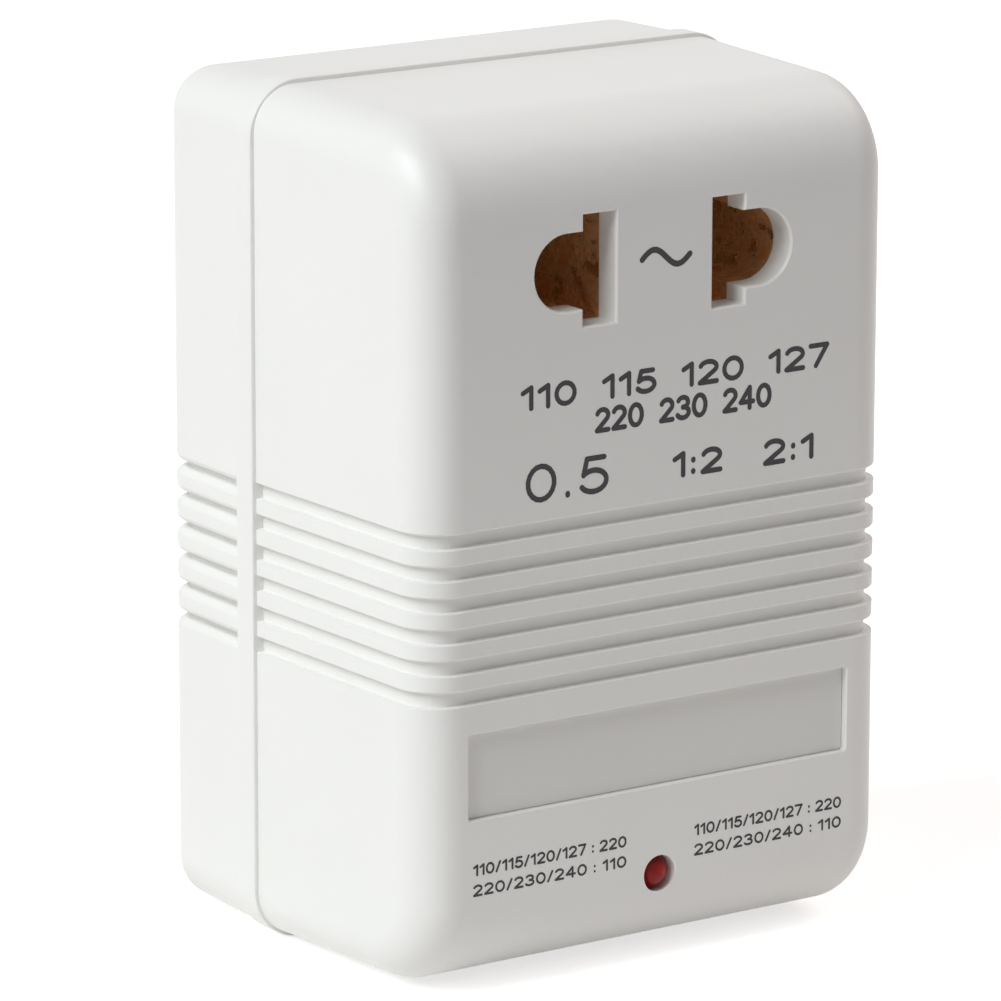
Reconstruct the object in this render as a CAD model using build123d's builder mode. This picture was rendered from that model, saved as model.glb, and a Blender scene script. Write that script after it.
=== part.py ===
from build123d import *
import os
from math import radians, tan

# Travel voltage converter that plugs straight into a wall socket, in millimetres.
# X runs to the right seen from the front, Y to the back and Z up. The origin is in
# the middle of the flat underside of the rim round the case, its lowest face.

# Case
case_width = 48.5
case_height = 72.3
front_depth = 23.65
rim_depth = 2.45
rear_depth = 12.1
rim_proud = 0.4
wall_thickness = 2.4
front_draft = 1.5
rear_draft = 1.0
front_round_radius = 7.8
edge_radius = 3.8
rear_edge_radius = 2.8
rim_corner_radius = 4.6
rim_lip_radius = 0.15
tongue_thickness = 0.8
tongue_depth = 1.6
fit_clearance = 0.05
cut_overrun = 1.5
lip_lift = 0.03
quarter_turn = 90

# Grooves round the case
groove_count = 6
groove_rise = 2.95
groove_pitch = 2.585
front_groove_depth = 0.65
front_groove_floor = 1.15
front_groove_top_lip = 0.15
front_groove_foot_lip = 0.35
rear_groove_depth = 1.05
rear_groove_floor = 0.5
rear_groove_lip = 0.8
rear_groove_sink = 0.15
groove_end_length = 1.2

# Output socket: flat slots that open outwards into round holes
socket_drop = 13.2
socket_pitch = 12.7
slot_width = 3.15
slot_height = 9.05
round_pin_pitch = 18.9
round_hole_radius = 3.15
slot_lip_radius = 0.3

# Output contacts, folded from strip
contact_relief = 0.15
contact_thickness = 0.6
contact_length = 10.0
contact_setback = 0.15
contact_tail_width = 3.2
contact_tail_length = 4.4

# Plate behind the contacts
contact_plate_width = 28.4
contact_plate_height = 13.0
contact_plate_thickness = 1.8
contact_plate_radius = 1.5
contact_screw_pitch = 10.4
contact_boss_radius = 2.2

# Name plate
plate_width = 37.8
plate_height = 7.15
plate_z = 18.97
plate_recess = 0.9
plate_thickness = 0.3
plate_corner_radius = 0.3
plate_clearance = 0.06
plate_lip_radius = 0.2

# Indicator lamp and its board
lamp_z = 7.9
lamp_radius = 1.45
lamp_hole_radius = 1.55
lamp_hole_lip_radius = 0.2
lamp_length = 4.8
lamp_set_in = 0.05
lamp_flange_radius = 1.75
lamp_flange_thickness = 0.9
lamp_leg_pitch = 2.0
lamp_leg_radius = 0.25
lamp_to_board = 1.1
board_width = 17.0
board_height = 9.6
board_bottom_z = 4.4
board_thickness = 1.2
guide_width = 2.0
guide_depth = 2.4
guide_height = 12.0
guide_grip = 0.6
component_offset = 5.2
resistor_radius = 0.95
resistor_length = 4.4
resistor_waist_radius = 0.75
resistor_cap_length = 1.0
diode_radius = 0.75
diode_length = 3.2
component_stand_off = 0.35
component_leg_radius = 0.22
component_leg_run = 0.8

# Transformer core, stamped in the usual proportions from one unit width
lamination_unit = 5.85
stack_depth = 16.0
core_bottom_z = 10.8
core_front_gap = 8.2
core_gap = 0.05
frame_thickness = 0.8
frame_tab_width = 4.0
frame_tab_depth = 5.0
frame_ear_height = 7.0
frame_ear_width = 30.0
frame_ear_radius = 2.0
frame_screw_pitch = 22.0
frame_screw_rise = 4.2
frame_boss_radius = 2.2
rest_width = 3.0
rest_pitch = 20.0

# Bobbin and windings
bobbin_wall = 0.8
bobbin_clearance = 0.15
flange_thickness = 0.8
flange_clearance = 0.3
inner_winding_depth = 2.0
outer_winding_depth = 1.7
tape_thickness = 0.15
winding_corner_radius = 0.5
winding_clearance = 0.02
pin_radius = 0.4
pin_length = 2.8
pin_pitch = 4.0
pin_count = 6
pin_set_in = 3.15

# Thermal fuse strapped to the outside of the windings
fuse_radius = 1.15
fuse_length = 9.0
fuse_tip_length = 1.2
fuse_tip_radius = 0.6
fuse_leg_radius = 0.35
fuse_leg_length = 1.2
fuse_z = 25.0

# Plug blades and their clamp plate
blade_drop = 14.8
blade_pitch = 12.7
blade_height = 6.35
blade_thickness = 1.52
blade_reach = 17.0
blade_tip_chamfer = 0.4
blade_tip_corner = 1.4
blade_shoulder_height = 9.2
blade_shoulder_depth = 1.8
blade_tail_height = 4.0
blade_tail_length = 4.65
blade_plate_width = 22.0
blade_plate_height = 13.0
blade_plate_thickness = 1.8
blade_plate_radius = 1.5
blade_screw_pitch = 8.4
blade_boss_radius = 2.2

# Voltage selector in the rear face
selector_drop = 12.0
selector_travel = 5.0
selector_body_width = 20.0
selector_body_height = 8.4
selector_body_depth = 6.45
selector_base_depth = 2.8
slider_base_width = 11.0
slider_base_height = 5.2
slider_base_depth = 2.2
slider_base_gap = 0.35
slider_side_clearance = 0.3
knob_width = 6.0
knob_height = 4.6
knob_set_in = 0.6
knob_groove_count = 5
knob_groove_width = 0.45
knob_groove_depth = 0.3
knob_clearance = 0.25
window_lip_radius = 0.3
selector_frame_width = 29.0
selector_frame_height = 8.8
selector_frame_thickness = 0.6
selector_frame_radius = 1.2
selector_screw_pitch = 25.0
terminal_pitch = 4.5
terminal_row_pitch = 4.0
terminal_width = 1.4
terminal_thickness = 0.7
terminal_lug_length = 3.5
terminal_pad_height = 0.35
bridge_length = 6.4
bridge_width = 1.2
bridge_thickness = 0.3

# Case screws
case_screw_inset = 6.7
case_boss_radius = 2.6
case_post_radius = 3.5
case_screw_web = 5.5
case_screw_length = 13.0
case_screw_radius = 1.3
case_screw_head_radius = 2.3
case_screw_head_height = 1.6
case_counterbore_radius = 2.5
case_screw_recess_width = 0.7
case_screw_recess_depth = 0.8

# Small screws
small_screw_radius = 0.95
small_screw_head_radius = 1.75
small_screw_head_height = 1.2
small_screw_length = 5.2
small_screw_recess_width = 0.5
small_screw_recess_depth = 0.6
screw_clearance = 0.06
screw_end_gap = 0.4
head_side_share = 0.8
head_shoulder_share = 0.62
recess_span_share = 1.1

# Leads and the lanes that they follow inside the case
lead_radius = 0.65
jumper_radius = 0.4
lamp_lead_radius = 0.35
lead_bend_share = 0.45
live_lane_y = 1.475
live_lane_drop = 5.0
output_lane_y = -5.025
output_lane_drop = 6.1
neutral_lane_x = 15.2
neutral_lane_y = 3.375
neutral_lane_drop = 6.5
neutral_turn_y = 5.175
neutral_turn_rise = 9.0
return_start_y = -4.425
return_lane_x = 12.4
return_lane_y = -1.925
return_lane_drop = 7.1
return_turn_y = 1.175
return_turn_rise = 3.4
fuse_lane_x = 13.8
tap_rise = 2.75
tap_lane_y = 1.575
jumper_drop = 1.8

# Places that follow from the sizes above
shell_width = case_width - 2 * rim_proud
shell_height = case_height - 2 * rim_proud
middle_z = case_height / 2
socket_z = case_height - socket_drop
blade_z = case_height - blade_drop
selector_z = blade_z - selector_drop
seam_y = -rim_depth / 2
rim_back_y = rim_depth / 2
front_y = seam_y - front_depth
rear_y = rim_back_y + rear_depth
front_wall_y = front_y + wall_thickness
rear_wall_y = rear_y - wall_thickness
post_front_y = seam_y - tongue_depth
front_taper = tan(radians(front_draft))
rear_taper = tan(radians(rear_draft))
side_of = {"left": -1, "right": 1}
case_screw_x = case_width / 2 - case_screw_inset
case_screw_z = (case_screw_inset, case_height - case_screw_inset)
case_screw_places = [(x, z) for x in (-case_screw_x, case_screw_x) for z in case_screw_z]
top_groove_z = middle_z + groove_rise - front_groove_floor / 2
groove_levels = [top_groove_z - n * groove_pitch for n in range(groove_count)]
rear_groove_levels = [level - rear_groove_sink for level in groove_levels]
front_groove_lips = (front_groove_foot_lip, front_groove_top_lip)
rear_groove_lips = (rear_groove_lip, rear_groove_lip)


def plane_at(y):
    """Plane that faces the front at depth y, with X to the right and Z up."""
    return Plane.XZ.offset(-y)


def back_plane_at(y):
    """Plane that faces the back at depth y, with Z up and X to the left."""
    return Plane(origin=(0, y, 0), x_dir=(-1, 0, 0), z_dir=(0, 1, 0))


def half_width_at(y):
    """Half the width of the shells at depth y, from the middle plane to a side."""
    if y < seam_y:
        return shell_width / 2 - (seam_y - y) * front_taper
    return shell_width / 2 - (y - rim_back_y) * rear_taper


def tapered_block(plane, inset, depth, draft):
    """Tapered block of a shell's outline, taken in by inset on every side."""
    with BuildPart() as block:
        with BuildSketch(plane):
            with Locations((0, middle_z)):
                Rectangle(shell_width - 2 * inset, shell_height - 2 * inset)
        extrude(amount=depth - inset, taper=draft)
    return block.part


def front_block(inset):
    """Form of the front shell, or of the hollow in it when inset is its wall."""
    base = tapered_block(plane_at(seam_y), inset, front_depth, front_draft)
    with BuildPart() as block:
        add(base)
        face = block.faces().sort_by(Axis.Y)[0]
        fillet(face.edges().filter_by(Axis.X), radius=front_round_radius - inset)
        sides = block.faces().sort_by(Axis.X)
        open_end = block.faces().sort_by(Axis.Y)[-1]
        chain = (sides[0].edges() + sides[-1].edges()) - open_end.edges()
        fillet(chain, radius=edge_radius - inset)
    return block.part


def rear_block(inset):
    """Form of the rear shell, or of the hollow in it when inset is its wall."""
    base = tapered_block(back_plane_at(rim_back_y), inset, rear_depth, rear_draft)
    with BuildPart() as block:
        add(base)
        back = block.faces().sort_by(Axis.Y)[-1]
        open_end = block.faces().sort_by(Axis.Y)[0]
        fillet(block.edges() - back.edges() - open_end.edges(), radius=edge_radius - inset)
        back = block.faces().sort_by(Axis.Y)[-1]
        fillet(back.edges(), radius=max(rear_edge_radius - inset, rim_lip_radius))
    return block.part


def groove_ring(points, radius, level, depth, floor_width, lip_radii):
    """Tool that cuts one groove along a route round the case, with a foot and a top lip."""
    floor = floor_width / 2
    foot_radius, top_radius = lip_radii
    foot = floor + foot_radius
    top = floor + top_radius
    with BuildPart() as ring:
        with BuildLine(Plane.XY.offset(level)):
            route = FilletPolyline(*points, radius=radius)
        along = route % 0
        start = Plane(origin=route @ 0, x_dir=(along.Y, -along.X, 0), z_dir=along)
        with BuildSketch(start):
            with BuildLine():
                Line((cut_overrun, -foot), (lip_lift, -foot))
                CenterArc((lip_lift - foot_radius, -foot), foot_radius, 0, quarter_turn)
                Line((lip_lift - foot_radius, -floor), (-depth, -floor))
                Line((-depth, -floor), (-depth, floor))
                Line((-depth, floor), (lip_lift - top_radius, floor))
                CenterArc((lip_lift - top_radius, top), top_radius, -quarter_turn, quarter_turn)
                Line((lip_lift, top), (cut_overrun, top))
                Line((cut_overrun, top), (cut_overrun, -foot))
            make_face()
        sweep()
    return ring.part


def socket_outline(growth, sides):
    """Draws the socket's openings on some sides, each grown by growth, in a sketch."""
    for side in sides:
        flat_x = side * socket_pitch / 2
        hole_x = side * round_pin_pitch / 2
        with Locations((flat_x, socket_z)):
            Rectangle(slot_width + 2 * growth, slot_height + 2 * growth)
        with Locations(((hole_x + flat_x) / 2, socket_z)):
            Rectangle(abs(hole_x - flat_x), 2 * (round_hole_radius + growth))
        with Locations((hole_x, socket_z)):
            Circle(round_hole_radius + growth)


def lead(points, radius):
    """Wire along a route of straight runs joined by tangent bends, whose radii it prints."""
    corners = [Vector(*point) for point in points]
    runs = [after - before for before, after in zip(corners, corners[1:])]
    radii = []
    for before, after in zip(runs, runs[1:]):
        half_turn = radians(before.get_angle(after) / 2)
        radii.append(lead_bend_share * min(before.length, after.length) / tan(half_turn))
    print("bend radii", [round(bend, 2) for bend in radii])
    with BuildPart() as wire:
        with BuildLine():
            route = FilletPolyline(*points, radius=radii) if radii else Line(*points)
        with BuildSketch(Plane(origin=route @ 0, z_dir=route % 0)):
            Circle(radius)
        sweep()
    return wire.part


def pan_screw(radius, length, head_radius, head_height, recess_width, recess_depth):
    """Pan-head screw with a cross recess: head above Z zero, shank below it."""
    with BuildPart() as screw:
        with BuildSketch(Plane.XZ):
            with BuildLine():
                Polyline((0, -length), (radius / 2, -length), (radius, radius / 2 - length), (radius, 0))
                Line((radius, 0), (head_radius, 0))
                shoulder = (head_radius * head_side_share, head_height * head_shoulder_share)
                ThreePointArc((head_radius, 0), shoulder, (0, head_height))
                Line((0, head_height), (0, -length))
            make_face()
        revolve(axis=Axis.Z)
        with BuildSketch(Plane.XY.offset(head_height + recess_depth)):
            Rectangle(recess_width, head_radius * recess_span_share)
            Rectangle(head_radius * recess_span_share, recess_width)
        extrude(amount=-2 * recess_depth, mode=Mode.SUBTRACT)
    return screw.part


def flared_cutter(draw, lip_radius, depth):
    """Tool that cuts what draw draws into the front face, with a rounded lip at the mouth."""
    mouth = plane_at(front_y - lip_lift)
    with BuildPart() as plate:
        with BuildSketch(mouth):
            with Locations((0, middle_z)):
                Rectangle(2 * shell_width, 2 * shell_height)
        extrude(amount=-lip_lift - depth)
        with BuildSketch(mouth):
            draw()
        extrude(amount=-lip_lift - depth, mode=Mode.SUBTRACT)
        face = plate.faces().sort_by(Axis.Y)[0]
        lips = [edge for wire in face.inner_wires() for edge in wire.edges()]
        fillet(lips, radius=lip_radius)
    with BuildPart() as cutter:
        with BuildSketch(mouth):
            with Locations((0, middle_z)):
                Rectangle(2 * shell_width, 2 * shell_height)
        extrude(amount=-lip_lift - depth)
        add(plate.part, mode=Mode.SUBTRACT)
    return cutter.part


def draw_lamp_hole():
    """Draws the indicator lamp's hole in a sketch."""
    with Locations((0, lamp_z)):
        Circle(lamp_hole_radius)


def draw_name_plate(growth=0):
    """Draws the name plate's outline, grown by growth, in a sketch."""
    with Locations((0, plate_z)):
        RectangleRounded(plate_width + 2 * growth, plate_height + 2 * growth, plate_corner_radius)


def draw_sockets():
    """Draws both openings of the output socket in a sketch."""
    socket_outline(0, side_of.values())


os.makedirs("parts", exist_ok=True)

# Places inside the case
core_front_y = front_y + core_front_gap
core_back_y = core_front_y + stack_depth
core_middle_y = core_front_y + stack_depth / 2
core_top_z = core_bottom_z + 5 * lamination_unit
core_half_width = 3 * lamination_unit
contact_front_y = front_wall_y + contact_setback
contact_back_y = contact_front_y + contact_length
contact_plate_y = contact_back_y + fit_clearance
contact_tail_x = socket_pitch / 2 - slot_width / 2 - contact_relief - contact_thickness / 2
contact_tail_y = contact_back_y + contact_tail_length
lamp_back_y = front_y + lamp_set_in + lamp_length
board_y = lamp_back_y + lamp_to_board
board_back_y = board_y + board_thickness
board_top_z = board_bottom_z + board_height
shoulder_y = rear_wall_y - blade_shoulder_depth
blade_tail_y = shoulder_y - blade_tail_length
frame_back_y = rear_wall_y - selector_frame_thickness
selector_front_y = frame_back_y - selector_body_depth
contact_screw_places = [(0, socket_z + s * contact_screw_pitch / 2) for s in side_of.values()]
frame_screw_places = [(s * frame_screw_pitch / 2, core_top_z + frame_screw_rise) for s in side_of.values()]
blade_screw_places = [(0, blade_z + s * blade_screw_pitch / 2) for s in side_of.values()]
selector_screw_places = [(s * selector_screw_pitch / 2, selector_z) for s in side_of.values()]
small_hole_radius = small_screw_radius + screw_clearance
small_screw = pan_screw(
    small_screw_radius,
    small_screw_length,
    small_screw_head_radius,
    small_screw_head_height,
    small_screw_recess_width,
    small_screw_recess_depth,
)

# Bosses, core rests and board guides that stand inside the front shell
guide_x = board_width / 2 - guide_grip + guide_width / 2
board_middle_y = board_y + board_thickness / 2
with BuildPart() as front_inside:
    with BuildSketch(plane_at(post_front_y)):
        with Locations(*case_screw_places):
            Circle(case_boss_radius)
        with Locations(*[(s * rest_pitch / 2, core_bottom_z / 2) for s in side_of.values()]):
            Rectangle(rest_width, core_bottom_z)
    extrude(amount=front_depth)
    with BuildSketch(plane_at(core_front_y)):
        Rectangle(shell_width, 2 * core_top_z)
    extrude(amount=front_depth, mode=Mode.SUBTRACT)
    with BuildSketch(plane_at(post_front_y)):
        with Locations(*case_screw_places):
            Circle(case_boss_radius)
    extrude(amount=front_depth)
    with BuildSketch(plane_at(contact_plate_y)):
        with Locations(*contact_screw_places):
            Circle(contact_boss_radius)
    extrude(amount=front_depth)
    with BuildSketch(plane_at(core_front_y)):
        with Locations(*frame_screw_places):
            Circle(frame_boss_radius)
    extrude(amount=front_depth)
    with BuildSketch(plane_at(board_middle_y + guide_depth / 2)):
        with Locations(*[(s * guide_x, guide_height / 2) for s in side_of.values()]):
            Rectangle(guide_width, guide_height)
    extrude(amount=guide_depth)
    with BuildSketch(plane_at(board_back_y + fit_clearance)):
        with Locations((0, board_bottom_z + board_height / 2)):
            Rectangle(board_width + 2 * fit_clearance, board_height + 2 * fit_clearance)
    extrude(amount=board_thickness + 2 * fit_clearance, mode=Mode.SUBTRACT)
    add(front_block(wall_thickness / 2), mode=Mode.INTERSECT)

# Front shell: drafted, well rounded at the top and bottom of its face, with grooves
# round its face and sides, the socket's openings, the name plate's recess and the
# lamp's hole.
seam_reach = shell_width / 2 + cut_overrun * front_taper
front_route = [
    (-seam_reach, seam_y + cut_overrun),
    (-half_width_at(front_y), front_y),
    (half_width_at(front_y), front_y),
    (seam_reach, seam_y + cut_overrun),
]
front_form = front_block(0)
front_hollow = front_block(wall_thickness)
front_grooves = [
    groove_ring(front_route, edge_radius, level, front_groove_depth, front_groove_floor, front_groove_lips)
    for level in groove_levels
]
through_depth = wall_thickness + cut_overrun / 2
front_cutters = [
    flared_cutter(draw_sockets, slot_lip_radius, through_depth),
    flared_cutter(draw_lamp_hole, lamp_hole_lip_radius, through_depth),
    flared_cutter(draw_name_plate, plate_lip_radius, plate_recess),
]
tongue_room = wall_thickness - tongue_thickness - fit_clearance
with BuildPart() as front_shell:
    add(front_form)
    add(front_hollow, mode=Mode.SUBTRACT)
    with BuildSketch(plane_at(seam_y)):
        with Locations((0, middle_z)):
            RectangleRounded(
                shell_width - 2 * tongue_room, shell_height - 2 * tongue_room, edge_radius - tongue_room
            )
    extrude(amount=tongue_depth + fit_clearance, mode=Mode.SUBTRACT)
    add(front_inside.part)
    for cutter in front_cutters + front_grooves:
        add(cutter, mode=Mode.SUBTRACT)
    with BuildSketch(plane_at(post_front_y)):
        with Locations(*case_screw_places):
            Circle(case_screw_radius + screw_clearance)
    extrude(amount=case_screw_length - case_screw_web + screw_end_gap, mode=Mode.SUBTRACT)
    with BuildSketch(plane_at(contact_plate_y)):
        with Locations(*contact_screw_places):
            Circle(small_hole_radius)
    extrude(amount=small_screw_length - contact_plate_thickness + screw_end_gap, mode=Mode.SUBTRACT)
    with BuildSketch(plane_at(core_front_y)):
        with Locations(*frame_screw_places):
            Circle(small_hole_radius)
    extrude(amount=small_screw_length - frame_thickness + screw_end_gap, mode=Mode.SUBTRACT)
front_shell.part.label = "front_shell"
export_step(front_shell.part, "parts/front_shell.step")

# Posts and bosses that stand inside the rear shell
rear_room = rear_block(wall_thickness / 2)
with BuildPart() as rear_inside:
    with BuildSketch(plane_at(rim_back_y)):
        with Locations(*case_screw_places):
            Circle(case_post_radius)
    extrude(amount=-rear_depth)
    with BuildSketch(plane_at(shoulder_y)):
        with Locations(*blade_screw_places):
            Circle(blade_boss_radius)
    extrude(amount=-blade_shoulder_depth - wall_thickness)
    add(rear_room, mode=Mode.INTERSECT)
    with BuildSketch(plane_at(rim_back_y)):
        with Locations(*case_screw_places):
            Circle(case_post_radius)
    extrude(amount=rim_back_y - post_front_y)

# Rim that stands proud of both shells
with BuildPart() as rim:
    with BuildSketch(plane_at(seam_y)):
        with Locations((0, middle_z)):
            RectangleRounded(case_width, case_height, rim_corner_radius)
    extrude(amount=-rim_depth)
    lips = rim.faces().sort_by(Axis.Y)[0].edges() + rim.faces().sort_by(Axis.Y)[-1].edges()
    fillet(lips, radius=rim_lip_radius)

# Rear shell: the rim, the grooves that go on round the sides, a tongue inside the
# seam, four screw posts, the plug blades' slots and the voltage selector's window.
rim_reach = shell_width / 2 + cut_overrun * rear_taper
rear_end_x = half_width_at(rear_y) - rear_edge_radius - groove_end_length
right_route = [(rim_reach, rim_back_y - cut_overrun), (half_width_at(rear_y), rear_y), (rear_end_x, rear_y)]
left_route = [(-x, y) for x, y in reversed(right_route)]
rear_form = rear_block(0)
rear_hollow = rear_block(wall_thickness)
rear_grooves = [
    groove_ring(route, rear_edge_radius, level, rear_groove_depth, rear_groove_floor, rear_groove_lips)
    for level in rear_groove_levels
    for route in (left_route, right_route)
]
window_width = knob_width + selector_travel + 2 * knob_clearance
window_height = knob_height + 2 * knob_clearance
tongue_inset = wall_thickness - tongue_thickness
case_seat_y = post_front_y + case_screw_web
small_sink = small_screw_head_height + screw_clearance
with BuildPart() as rear_shell:
    add(rear_form)
    for ring in rear_grooves:
        add(ring, mode=Mode.SUBTRACT)
    add(rim.part)
    with BuildSketch(plane_at(rim_back_y)):
        with Locations((0, middle_z)):
            RectangleRounded(
                shell_width - 2 * tongue_inset, shell_height - 2 * tongue_inset, edge_radius - tongue_inset
            )
    extrude(amount=rim_depth + tongue_depth)
    add(rear_hollow, mode=Mode.SUBTRACT)
    hollow_mouth = rear_hollow.faces().sort_by(Axis.Y)[0]
    extrude(hollow_mouth, amount=rim_depth + tongue_depth, mode=Mode.SUBTRACT)
    add(rear_inside.part)
    with BuildSketch(plane_at(post_front_y)):
        with Locations(*case_screw_places):
            Circle(case_screw_radius + screw_clearance)
    extrude(amount=-case_screw_web, mode=Mode.SUBTRACT)
    with BuildSketch(plane_at(case_seat_y)):
        with Locations(*case_screw_places):
            Circle(case_counterbore_radius)
    extrude(amount=case_seat_y - rear_y - cut_overrun, mode=Mode.SUBTRACT)
    with BuildSketch(plane_at(rear_y)):
        with Locations(*[(s * blade_pitch / 2, blade_z) for s in side_of.values()]):
            Rectangle(blade_thickness + 2 * fit_clearance, blade_height + 2 * fit_clearance)
        with Locations((0, selector_z)):
            Rectangle(window_width, window_height)
        with Locations(*selector_screw_places):
            Circle(small_hole_radius)
    extrude(amount=wall_thickness, mode=Mode.SUBTRACT)
    with BuildSketch(plane_at(rear_y)):
        with Locations(*selector_screw_places):
            Circle(small_screw_head_radius + screw_clearance)
    extrude(amount=small_sink, mode=Mode.SUBTRACT)
    with BuildSketch(plane_at(shoulder_y)):
        with Locations(*blade_screw_places):
            Circle(small_hole_radius)
    extrude(amount=blade_plate_thickness - small_screw_length - screw_end_gap / 2, mode=Mode.SUBTRACT)
    back_face = rear_shell.faces().sort_by(Axis.Y)[-1]
    window_edges = ShapeList([edge for wire in back_face.inner_wires() for edge in wire.edges()])
    window_low_z = selector_z - window_height
    window_high_z = selector_z + window_height
    window_edges = window_edges.filter_by(
        lambda edge: window_low_z < edge.center().Z < window_high_z
        and abs(edge.center().X) < window_width
        and edge.geom_type == GeomType.LINE
    )
    fillet(window_edges, radius=window_lip_radius)
rear_shell.part.label = "rear_shell"
export_step(rear_shell.part, "parts/rear_shell.step")

# Case screws, put in from the back
case_screw = pan_screw(
    case_screw_radius,
    case_screw_length,
    case_screw_head_radius,
    case_screw_head_height,
    case_screw_recess_width,
    case_screw_recess_depth,
)
with BuildPart() as case_screws:
    with Locations(*[back_plane_at(case_seat_y) * Location((-x, z, 0)) for x, z in case_screw_places]):
        add(case_screw)
case_screws.part.label = "case_screws"
export_step(case_screws.part, "parts/case_screws.step")

# Bare name plate, glued to the floor of its recess
with BuildPart() as name_plate:
    with BuildSketch(plane_at(front_y + plate_recess)):
        draw_name_plate(-plate_clearance)
    extrude(amount=plate_thickness)
name_plate.part.label = "name_plate"
export_step(name_plate.part, "parts/name_plate.step")

# Output contacts: a sleeve of folded brass behind each opening, with a solder tail
for name, side in side_of.items():
    with BuildPart() as output_contact:
        with BuildSketch(plane_at(contact_front_y)):
            socket_outline(contact_relief + contact_thickness, [side])
        extrude(amount=-contact_length)
        with BuildSketch(plane_at(contact_front_y)):
            socket_outline(contact_relief, [side])
        extrude(amount=-contact_length, mode=Mode.SUBTRACT)
        with BuildSketch(plane_at(contact_back_y)):
            with Locations((side * contact_tail_x, socket_z)):
                Rectangle(contact_thickness, contact_tail_width)
        extrude(amount=-contact_tail_length)
    output_contact.part.label = f"output_contact_{name}"
    export_step(output_contact.part, f"parts/output_contact_{name}.step")

# Plate that holds the contacts against the front wall
with BuildPart() as contact_retainer:
    with BuildSketch(plane_at(contact_plate_y)):
        with Locations((0, socket_z)):
            RectangleRounded(contact_plate_width, contact_plate_height, contact_plate_radius)
        with Locations(*[(s * contact_tail_x, socket_z) for s in side_of.values()]):
            Rectangle(
                contact_thickness + 2 * fit_clearance,
                contact_tail_width + 2 * fit_clearance,
                mode=Mode.SUBTRACT,
            )
        with Locations(*contact_screw_places):
            Circle(small_hole_radius, mode=Mode.SUBTRACT)
    extrude(amount=-contact_plate_thickness)
contact_retainer.part.label = "contact_retainer"
export_step(contact_retainer.part, "parts/contact_retainer.step")

contact_seat_y = contact_plate_y + contact_plate_thickness
with BuildPart() as contact_retainer_screws:
    for x, z in contact_screw_places:
        with Locations(back_plane_at(contact_seat_y) * Location((-x, z, 0))):
            add(small_screw)
contact_retainer_screws.part.label = "contact_retainer_screws"
export_step(contact_retainer_screws.part, "parts/contact_retainer_screws.step")

# Plug blades: flat brass strip with a shoulder inside the wall and a solder tail
for name, side in side_of.items():
    tip_y = rear_y + blade_reach
    tip_side = blade_height / 2 - blade_tip_corner
    half_tail = blade_tail_height / 2
    half_shoulder = blade_shoulder_height / 2
    half_blade = blade_height / 2
    upper = [
        (blade_tail_y, half_tail),
        (shoulder_y, half_tail),
        (shoulder_y, half_shoulder),
        (rear_wall_y, half_shoulder),
        (rear_wall_y, half_blade),
        (tip_y - blade_tip_corner, half_blade),
        (tip_y, tip_side),
    ]
    lower = [(y, -z) for y, z in reversed(upper)]
    outline = [(y, blade_z + z) for y, z in upper + lower]
    with BuildPart() as plug_blade:
        with BuildSketch(Plane.YZ.offset(side * blade_pitch / 2)):
            with BuildLine():
                Polyline(*outline, close=True)
            make_face()
        extrude(amount=blade_thickness / 2, both=True)
        tip_edges = plug_blade.faces().sort_by(Axis.Y)[-1].edges().filter_by(Axis.Z)
        chamfer(tip_edges, length=blade_tip_chamfer)
    plug_blade.part.label = f"plug_blade_{name}"
    export_step(plug_blade.part, f"parts/plug_blade_{name}.step")

# Plate that clamps the blades' shoulders to the rear wall
blade_plate_y = shoulder_y - blade_plate_thickness
with BuildPart() as blade_retainer:
    with BuildSketch(plane_at(shoulder_y)):
        with Locations((0, blade_z)):
            RectangleRounded(blade_plate_width, blade_plate_height, blade_plate_radius)
        with Locations(*[(s * blade_pitch / 2, blade_z) for s in side_of.values()]):
            Rectangle(
                blade_thickness + 2 * fit_clearance,
                blade_tail_height + 2 * fit_clearance,
                mode=Mode.SUBTRACT,
            )
        with Locations(*blade_screw_places):
            Circle(small_hole_radius, mode=Mode.SUBTRACT)
    extrude(amount=blade_plate_thickness)
blade_retainer.part.label = "blade_retainer"
export_step(blade_retainer.part, "parts/blade_retainer.step")

with BuildPart() as blade_retainer_screws:
    with Locations(*[plane_at(blade_plate_y) * Location((x, z, 0)) for x, z in blade_screw_places]):
        add(small_screw)
blade_retainer_screws.part.label = "blade_retainer_screws"
export_step(blade_retainer_screws.part, "parts/blade_retainer_screws.step")

# Transformer core: stacked E laminations with the I laminations across their ends
leg_top_z = core_bottom_z + 4 * lamination_unit
window_bottom_z = core_bottom_z + lamination_unit
window_middle_z = (window_bottom_z + leg_top_z) / 2
with BuildPart() as core_e_stack:
    with BuildSketch(plane_at(core_front_y)):
        with Locations((0, core_bottom_z + 2 * lamination_unit)):
            Rectangle(2 * core_half_width, 4 * lamination_unit)
        with Locations(*[(s * 3 * lamination_unit / 2, window_middle_z) for s in side_of.values()]):
            Rectangle(lamination_unit, 3 * lamination_unit, mode=Mode.SUBTRACT)
    extrude(amount=-stack_depth)
core_e_stack.part.label = "core_e_stack"
export_step(core_e_stack.part, "parts/core_e_stack.step")

with BuildPart() as core_i_stack:
    with BuildSketch(plane_at(core_front_y)):
        with Locations((0, leg_top_z + lamination_unit / 2 + core_gap / 2)):
            Rectangle(2 * core_half_width, lamination_unit - core_gap)
    extrude(amount=-stack_depth)
core_i_stack.part.label = "core_i_stack"
export_step(core_i_stack.part, "parts/core_i_stack.step")

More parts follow.
